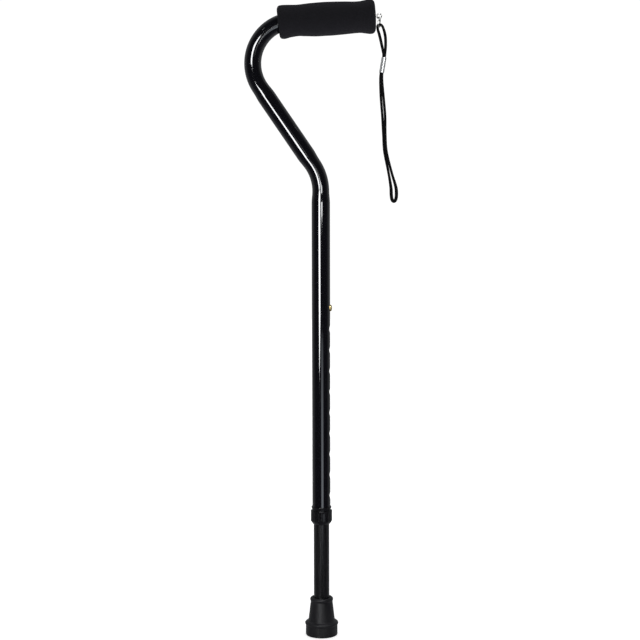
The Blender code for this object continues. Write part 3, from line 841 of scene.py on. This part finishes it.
def build_lock_nut(look):
    """The collar's nut: shallow flutes down its straight side, and a broad chamfer below."""
    low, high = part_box("lock_nut")
    flutes = 18
    flute_depth = 0.35 * MM
    flute_bottom = low.z + 2.2 * MM
    flute_top = high.z - 0.9 * MM
    steps_per_flute = 16
    side = high.y
    bore = 11.6 * MM
    shelf = UPPER_RADIUS - WALL
    chamfer_top = low.z + 3.8 * MM
    corners = [
        (shelf, low.z, 0.2 * MM),
        (10.1 * MM, low.z, 0.3 * MM),
        (11.3 * MM, low.z + 1.5 * MM, 1.0 * MM),
        (side - 0.15 * MM, chamfer_top, 0.8 * MM),
        (side, chamfer_top + 0.6 * MM, 0.2 * MM),
        (side, (chamfer_top + high.z) / 2, 0),
        (side, high.z - 0.55 * MM, 0.4 * MM),
        (side - 0.6 * MM, high.z, 0.3 * MM),
        (bore, high.z, 0.2 * MM),
        (bore, low.z + 2.4 * MM, 0.2 * MM),
        (shelf, low.z + 2.4 * MM, 0.2 * MM),
    ]

    def fluted(radius, z, angle):
        """Each flute starts in the chamfer and runs out in a round end below the nut's top."""
        if radius < side - 1.2 * MM:
            return radius
        rise = smooth_step((z - flute_bottom) / (2.2 * MM))
        run_out = smooth_step((flute_top - z) / (1.2 * MM))
        wave = (1 - math.cos(flutes * angle)) / 2
        return radius - flute_depth * (1 - wave**2) * rise * run_out

    profile = subdivided(filleted(corners, closed=True), 0.6 * MM)
    bm = turned(profile, steps_per_flute * flutes, shape=fluted)
    add_piece("nut_molded", bm, look, "lock_nut", 50)


def build_rubber_tip(look):
    """A bell with a rolled rim at its mouth, a wide foot with a lip, and grooves in its tread."""
    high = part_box("rubber_tip")[1]
    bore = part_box("lower_tube")[1].x + 0.2 * MM
    foot = 19.4
    corners_mm = [(0, 0, 0)]
    for groove in (6.5, 12.0):
        corners_mm += [
            (groove - 0.9, 0, 0.25),
            (groove - 0.6, 1.4, 0.3),
            (groove + 0.6, 1.4, 0.3),
            (groove + 0.9, 0, 0.25),
        ]
    corners_mm += [
        (18.9, 0, 0.5),
        (foot, 0.8, 0.5),
        (foot, 12.6, 0.6),
        (20.3, 13.9, 0.6),
        (20.3, 15.4, 0.8),
        (18.6, 17.0, 0.5),
        (16.9, 17.6, 0.5),
        (16.1, 18.7, 0.6),
        (13.3, 41.8, 0.8),
        (14.15, 43.6, 0.8),
        (14.0, 45.3, 0.8),
        (12.8, 46.6, 0.7),
        (10.9, 46.6, 0.5),
        (bore / MM, 45.4, 0.4),
        (bore / MM, 8.0, 0.5),
        (0, 8.0, 0),
    ]
    corners = [(r * MM, min(z * MM, high.z), fillet * MM) for r, z, fillet in corners_mm]
    sides = 192
    seam_width = 0.18 * MM
    seam_height = 0.07 * MM
    lump_height = 0.06 * MM
    lump = 14 * MM
    lumps_across = 1.5

    def molded(radius, z, angle):
        """The mould's parting line on two sides and a slightly uneven skin, but not in the tread or
        the bore."""
        if z < 1.5 * MM or radius < bore + 1 * MM:
            return radius
        seam = math.exp(-((math.sin(angle) * radius / seam_width) ** 2))
        spot = (math.cos(angle) * lumps_across, math.sin(angle) * lumps_across, z / lump)
        return radius + seam_height * seam + lump_height * (noise.noise(spot) - 1)

    profile = subdivided(filleted(corners), 0.8 * MM)
    bm = turned(profile, sides, shape=molded)
    add_piece("tip_molded", bm, look, "rubber_tip", 50)


def build_tip_washer(look):
    low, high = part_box("tip_washer")
    hole = 3 * MM
    edge = 0.15 * MM
    corners = [(hole, low.z, edge), (high.x, low.z, edge)]
    corners += [(high.x, high.z, edge), (hole, high.z, edge)]
    bm = turned(filleted(corners, closed=True), TUBE_SIDES)
    add_piece("washer_stamped", bm, look, "tip_washer", 40)


def build_clamp_ring(look):
    """A split ring, turned through all but a narrow gap."""
    low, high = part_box("clamp_ring")
    inner = UPPER_RADIUS - WALL
    outer = 11.3 * MM
    edge = 0.12 * MM
    corners = [
        (inner, low.z, edge),
        (outer, low.z, edge),
        (outer, high.z - 1.2 * MM, edge),
        (outer - 1 * MM, high.z, edge),
        (inner, high.z, edge),
    ]
    section = filleted(corners, closed=True)
    split = math.radians(14)
    steps = 120
    bm = bmesh.new()
    loops = []
    for i in range(steps + 1):
        angle = split / 2 + (math.tau - split) * i / steps
        across, along = math.cos(angle), math.sin(angle)
        loops.append([bm.verts.new((r * across, r * along, z)) for r, z in section])
    bridge_and_cap(bm, loops)
    add_piece("clamp_split", bm, look, "clamp_ring", 40)


# ---------------------------------------------------------------- button and its spring


def build_snap_button(look):
    """A plated button: a flange inside the tubes, a straight stem and a low dome."""
    low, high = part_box("snap_button")
    middle = (low.z + high.z) / 2
    flange = (high.z - low.z) / 2
    stem = HOLE_RADIUS - 0.3 * MM
    dome_base = UPPER_RADIUS + 0.6 * MM
    flange_top = low.x + 1.1 * MM
    corners = [
        (0, low.x, 0),
        (flange, low.x, 0.2 * MM),
        (flange, flange_top, 0.2 * MM),
        (stem, flange_top, 0.3 * MM),
        (stem, dome_base, 0),
    ]
    profile = subdivided(filleted(corners), 1.0 * MM)
    dome_steps = 14
    fullness = 0.9  # 1 for an ellipse, less for a fuller dome
    for i in range(1, dome_steps):
        angle = math.pi / 2 * i / dome_steps
        rise = (high.x - dome_base) * math.sin(angle)
        profile.append(Vector((stem * math.cos(angle) ** fullness, dome_base + rise)))
    profile.append(Vector((0, high.x)))
    place = Matrix.Translation((0, 0, middle)) @ Matrix.Rotation(math.pi / 2, 4, "Y")
    add_piece("button_plated", turned(profile, 72, place), look, "snap_button", 50)


def build_button_spring(look):
    """A strip with round edges, bent back on itself: one leg is under the button, and the other is
    on the far side of the tube."""
    low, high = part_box("button_spring")
    half_width = high.y
    half_thick = 0.25 * MM
    near = high.x - half_thick
    far = low.x + half_thick
    bend_center = Vector((-1.5 * MM, 0, TOP_HOLE_Z - 30 * MM))
    bend_radius = 1.6 * MM
    bend_steps = 24
    path = [Vector((near, 0, TOP_HOLE_Z + z)) for z in (6 * MM, -6 * MM)]
    for i in range(bend_steps + 1):
        angle = math.pi * i / bend_steps
        path.append(bend_center + Vector((math.cos(angle), 0, -math.sin(angle))) * bend_radius)
    path += [Vector((far, 0, TOP_HOLE_Z + z)) for z in (-4 * MM, 8 * MM)]
    edge = half_thick * 0.6
    signs = ((1, 1), (-1, 1), (-1, -1), (1, -1))
    corners = [(x * half_thick, y * half_width, edge) for x, y in signs]
    section = filleted(corners, closed=True, steps=3)
    bm = bmesh.new()
    loops = []
    for i, point in enumerate(path):
        along = (path[min(i + 1, len(path) - 1)] - path[max(i - 1, 0)]).normalized()
        normal = Vector((along.z, 0, -along.x))
        spots = [point + normal * out + Vector((0, wide, 0)) for out, wide in section]
        loops.append([bm.verts.new(spot) for spot in spots])
    bridge_and_cap(bm, loops)
    add_piece("spring_strip", bm, look, "button_spring", 40)


# ---------------------------------------------------------------- handle


def handle_place():
    """The frame of the straight handle: its origin at the bend's end, its X axis along the tube."""
    shaft_corner = Vector((0, SHAFT_CORNER_Z))
    end = handle_axis(HANDLE_END_X)
    start = bend_points(shaft_corner, line_corner(), end, BIG_BEND_RADIUS)[-1][0]
    return Matrix.Translation(in_space(start)) @ Matrix.Rotation(-HANDLE_TILT, 4, "Y")


def bore_height(x, up, bore):
    """Height of the grip's bore at x, where up runs from 1 at its top to -1 at its bottom. Behind
    the handle frame's origin the bore follows the tube into the bend."""
    if x >= 0:
        return bore * up
    return math.sqrt((BIG_BEND_RADIUS + bore * up) ** 2 - x**2) - BIG_BEND_RADIUS


def build_foam_grip(look):
    """A soft sleeve, waisted between its flared ends, with its back end pulled over the bend. Its
    skin is a little uneven, and it puckers where the bend squeezes it."""
    # along the handle, radius, drop of the centre, and how far the top leans back
    rings_mm = [
        (-17.2, 13.4, 1.4, 0.9),
        (-17.3, 14.5, 1.2, 0.9),
        (-17.0, 16.6, 0.8, 0.7),
        (-15.4, 19.0, 0.8, 0.5),
        (-12.0, 19.8, 0.9, 0.2),
        (-8.0, 19.6, 0.7, 0),
        (-2.0, 18.9, 0.3, 0),
        (6.0, 18.35, 0, 0),
        (13.0, 18.8, 0, 0),
        (22.0, 19.5, 0, 0),
        (35.0, 19.8, 0, 0),
        (49.0, 19.65, 0, 0),
        (63.0, 19.05, 0, 0),
        (77.0, 18.35, 0, 0),
        (84.0, 19.15, 0, 0),
        (89.5, 20.2, 0, 0),
        (93.0, 20.15, 0, 0),
        (95.5, 19.1, 0, 0),
        (96.9, 17.0, 0, 0),
        (97.5, 14.6, 0, 0),
        (97.45, 12.9, 0, 0),
        (97.0, 12.1, 0, 0),
    ]
    # along the handle, and how far the top leans back
    bore_front = rings_mm[-1][0] - 0.8
    bore_rings_mm = [(-16.8, 0.9), (-15, 0.7), (-12, 0.4), (-8, 0), (-4, 0), (0, 0), (bore_front, 0)]
    bore = UPPER_RADIUS + 0.6 * MM
    sides = 160
    lump = 11 * MM
    lump_height = 0.16 * MM
    small_lump_height = 0.05 * MM
    pucker = 1.6 * MM
    pucker_height = 0.14 * MM
    pucker_back, pucker_front = -15 * MM, 2 * MM
    place = handle_place()
    bm = bmesh.new()
    loops = []
    for x, radius, drop, lean in smooth_route([Vector(ring) * MM for ring in rings_mm], 0.7 * MM):

        def point_at(angle, x=x, radius=radius, drop=drop, lean=lean):
            up = math.cos(angle)
            spot = Vector((x, radius * math.sin(angle), radius * up))
            soft = lump_height * (noise.noise(spot / lump) - 0.4)
            soft += small_lump_height * noise.noise(spot / (0.25 * lump))
            squeezed = smooth_step((pucker_front - x) / (9 * MM))
            squeezed *= smooth_step((x - pucker_back) / (3 * MM)) * smooth_step(-up)
            waves = math.sin(x / pucker + 2 * noise.noise(spot / (0.5 * lump)))
            soft += pucker_height * squeezed * waves
            swollen = radius + soft
            return place @ Vector((x - lean * up, swollen * math.sin(angle), swollen * up - drop))

        loops.append(ring_of(bm, point_at, sides))
    inside = []
    for x_mm, lean_mm in bore_rings_mm:

        def bore_at(angle, x=x_mm * MM, lean=lean_mm * MM):
            up = math.cos(angle)
            back = x - lean * up
            return place @ Vector((back, bore * math.sin(angle), bore_height(back, up, bore)))

        inside.append(ring_of(bm, bore_at, sides))
    bridge(bm, loops + inside[::-1], closed=True)
    grip = add_piece("grip_foam", bm, look, "foam_grip", 70)


def build_handle_end_plug(look):
    """A domed cap on the tube's end, with a stub inside it and a hole for the eye's shank."""
    gap = 0.3 * MM
    head = (handle_place().inverted() @ in_space(handle_axis(HANDLE_END_X))).x + gap
    stub_end = head - 12 * MM
    stub = UPPER_RADIUS - WALL - 0.3 * MM
    cap_radius = UPPER_RADIUS - 0.1 * MM
    shank_hole = EYE_WIRE_RADIUS + 0.3 * MM
    corners = [
        (shank_hole, stub_end, 0.1 * MM),
        (stub - 0.5 * MM, stub_end, 0.2 * MM),
        (stub, stub_end + 1 * MM, 0.3 * MM),
        (stub, head, 0.1 * MM),
        (cap_radius, head, 0.15 * MM),
        (cap_radius, head + 0.65 * MM, 0.5 * MM),
        (cap_radius - 1.2 * MM, head + 1.2 * MM, 0.6 * MM),
        (7.0 * MM, head + 1.55 * MM, 1 * MM),
        (shank_hole, head + 1.85 * MM, 0.1 * MM),
    ]
    place = handle_place() @ Matrix.Rotation(math.pi / 2, 4, "Y")
    bm = turned(filleted(corners, closed=True), TUBE_SIDES, place)
    add_piece("plug_molded", bm, look, "handle_end_plug", 40)


# ---------------------------------------------------------------- wrist strap and its hardware


def build_strap_eye_screw(look):
    """One length of wire: the shank, a tight bend and an eye that nearly closes on the shank."""
    place = handle_place()
    along = (in_space(handle_axis(EYE_X)) - place.translation).length
    shank_start = along - EYE_RADIUS - 12 * MM
    shank_end = along - EYE_RADIUS - 1.2 * MM
    path = [Vector((shank_start, 0, 0)), Vector((shank_end, 0, 0))]
    steps = 72
    open_angle = math.radians(20)
    for i in range(steps + 1):
        angle = math.pi + (math.tau - open_angle) * i / steps
        path.append(Vector((along + EYE_RADIUS * math.cos(angle), 0, EYE_RADIUS * math.sin(angle))))
    sides = 24
    bm = bmesh.new()
    loops = sweep(bm, [place @ point for point in path], circle_section(EYE_WIRE_RADIUS, sides))
    bridge_and_cap(bm, loops)
    add_piece("eye_wire", bm, look, "strap_eye_screw", 60)


def build_strap_split_ring(look):
    """Two turns of flattened wire side by side, joined by a short ramp."""
    low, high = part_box("strap_split_ring")
    center = (low + high) / 2
    thick = 1.0 * MM
    wide = 0.82 * MM
    pitch = wide + 0.06 * MM  # with a hair's gap between the turns
    middle = (high.z - low.z) / 2 - thick / 2
    turns = 2
    steps = 110 * turns
    sweep_angle = math.tau * turns - 0.2
    ramp = math.radians(50)
    half = thick / 2
    outline = [(half, -wide / 2, 0.2 * MM), (half, wide / 2, 0.2 * MM)]
    outline += [(-half, wide / 2, 0.12 * MM), (-half, -wide / 2, 0.12 * MM)]
    section = filleted(outline, closed=True, steps=3)
    place = Matrix.Translation(center) @ Matrix.Rotation(-RING_YAW, 4, "Z")
    bm = bmesh.new()
    loops = []
    for i in range(steps + 1):
        turn = sweep_angle * i / steps
        across = smooth_step((turn - (math.tau - ramp / 2)) / ramp)
        shift = (across - 0.5) * pitch
        spoke = Vector((0, math.cos(turn), math.sin(turn)))
        corners = []
        for out, side in section:
            spot = spoke * (middle + out) + Vector((side + shift, 0, 0))
            corners.append(bm.verts.new(place @ spot))
        loops.append(corners)
    bridge_and_cap(bm, loops)
    add_piece("ring_two_turns", bm, look, "strap_split_ring", 50)


def build_strap_ferrule(look):
    """A flat-oval sleeve crimped on both strands: two rows of tool marks, and rolled ends."""
    axis = (FERRULE_TOP - FERRULE_BOTTOM).normalized()
    wide = Vector((math.cos(FERRULE_YAW), -math.sin(FERRULE_YAW), 0))
    wide = (wide - axis * wide.dot(axis)).normalized()
    deep = axis.cross(wide)
    length = (FERRULE_TOP - FERRULE_BOTTOM).length
    inner = CORD_RADIUS + 0.2 * MM
    outer = inner + 0.43 * MM
    mark_places = (0.3, 0.7)
    mark_width = 0.05
    mark_depth = 0.26 * MM
    rim_depth = 0.14 * MM
    rim_run = 0.4 * MM
    sides = 80
    steps = 72

    def loop_at(bm, share, radius_at):
        center = FERRULE_BOTTOM.lerp(FERRULE_TOP, share)

        def point_at(angle):
            angle += math.pi / sides
            shift = STRAND_OFFSET if math.cos(angle) > 0 else -STRAND_OFFSET
            radius = radius_at(angle)
            across = wide * (shift + radius * math.cos(angle))
            return center + across + deep * radius * math.sin(angle)

        return ring_of(bm, point_at, sides)

    bm = bmesh.new()
    loops = []
    for i in range(steps + 1):
        share = i / steps
        marks = sum(math.exp(-(((share - place) / mark_width) ** 2)) for place in mark_places)
        from_end = min(share, 1 - share) * length
        rolled = rim_depth * (1 - smooth_step(from_end / rim_run))

        def outer_at(angle, marks=marks, rolled=rolled):
            facing = abs(math.sin(angle)) ** 3
            return outer - rolled - mark_depth * marks * facing

        loops.append(loop_at(bm, share, outer_at))
    loops += [loop_at(bm, share, lambda angle: inner) for share in (1, 0)]
    bridge(bm, loops, closed=True)
    return add_piece("ferrule_crimped", bm, look, "strap_ferrule", 60)


def braid_height(angle, run):
    """Relief of a plain braid, 0 between the strands to 1 on top of them. Two sets of strands wind
    round the cord in opposite directions, and each passes over and under the other."""
    strands = 8
    rise = 1.35 * MM
    one = strands * angle / math.tau + run / rise
    other = strands * angle / math.tau - run / rise
    off_one = one - round(one)
    off_other = other - round(other)
    lift_one = 0.5 + 0.5 * math.cos(math.pi * (other + round(one)))
    lift_other = 0.5 - 0.5 * math.cos(math.pi * (one + round(other)))
    height_one = (1 - (2 * off_one) ** 2) * (0.5 + 0.5 * lift_one)
    height_other = (1 - (2 * off_other) ** 2) * (0.5 + 0.5 * lift_other)
    return max(height_one, height_other)


def braid_slack(z):
    """How much thicker the cord is at a height than where it is pulled tight."""
    low, high = UPPER_SLACK_Z
    upper = smooth_step((z - low) / UPPER_SLACK_RUN) * smooth_step((high - z) / UPPER_SLACK_RUN)
    return UPPER_SLACK * upper + HAND_SLACK * smooth_step((HAND_SLACK_Z - z) / HAND_SLACK_RUN)


def build_wrist_strap_cord(look, ferrule):
    """The strap in one length of braid, hanging from the split ring. The ferrule that it is given is
    not used.
    """
    route = [Vector(point) * MM for point in CORD_ROUTE]
    points = smooth_route(route, 0.3 * MM)
    runs = [0.0]
    for one, other in pairwise(points):
        runs.append(runs[-1] + (other - one).length)
    sides = 44
    relief = 0.14

    def section(i):
        corners = []
        swollen = CORD_RADIUS * (1 + braid_slack(points[i].z))
        for k in range(sides):
            angle = math.tau * k / sides
            radius = swollen * (1 - relief + relief * braid_height(angle, runs[i]))
            corners.append((radius * math.cos(angle), radius * math.sin(angle)))
        return corners

    bm = bmesh.new()
    loops = sweep(bm, points, section)
    bridge_and_cap(bm, loops)
    cord = add_piece("strap_braid", bm, look, "wrist_strap_cord")


# ---------------------------------------------------------------- main


add_camera()
add_world()
add_floor()
add_lights()

nickel = plated_metal("bright_nickel", (0.9, 0.89, 0.86), 0.22, 0.4)
crimped = plated_metal("crimped_metal", (0.97, 0.97, 0.97), 0.46, 0.6)
build_wrist_strap_cord(braided_yarn(), build_strap_ferrule(crimped))
build_strap_split_ring(nickel)
build_strap_eye_screw(nickel)
build_upper_tube(gloss_coating())
build_lower_tube(satin_coating())
build_foam_grip(foam_skin())
build_handle_end_plug(molded_plastic("plug_plastic", (0.012, 0.012, 0.013), 0.4, 0.5))
build_collar_bushing(molded_plastic("bushing_plastic", (0.0125, 0.0122, 0.0152), 0.16, 0.24))
build_lock_nut(molded_plastic("nut_plastic", (0.0082, 0.0075, 0.0102), 0.16, 0.24))
build_clamp_ring(molded_plastic("clamp_plastic", (0.05, 0.05, 0.05), 0.45, 0.6))
build_rubber_tip(molded_rubber())
build_tip_washer(plated_metal("washer_steel", (0.6, 0.6, 0.6), 0.3, 0.5))
build_snap_button(plated_metal("brass_plate", (0.9, 0.68, 0.3), 0.15, 0.3))
build_button_spring(plated_metal("spring_steel", (0.62, 0.6, 0.56), 0.25, 0.4))

bpy.context.scene.view_settings.view_transform = "Standard"

bpy.context.view_layer.update()
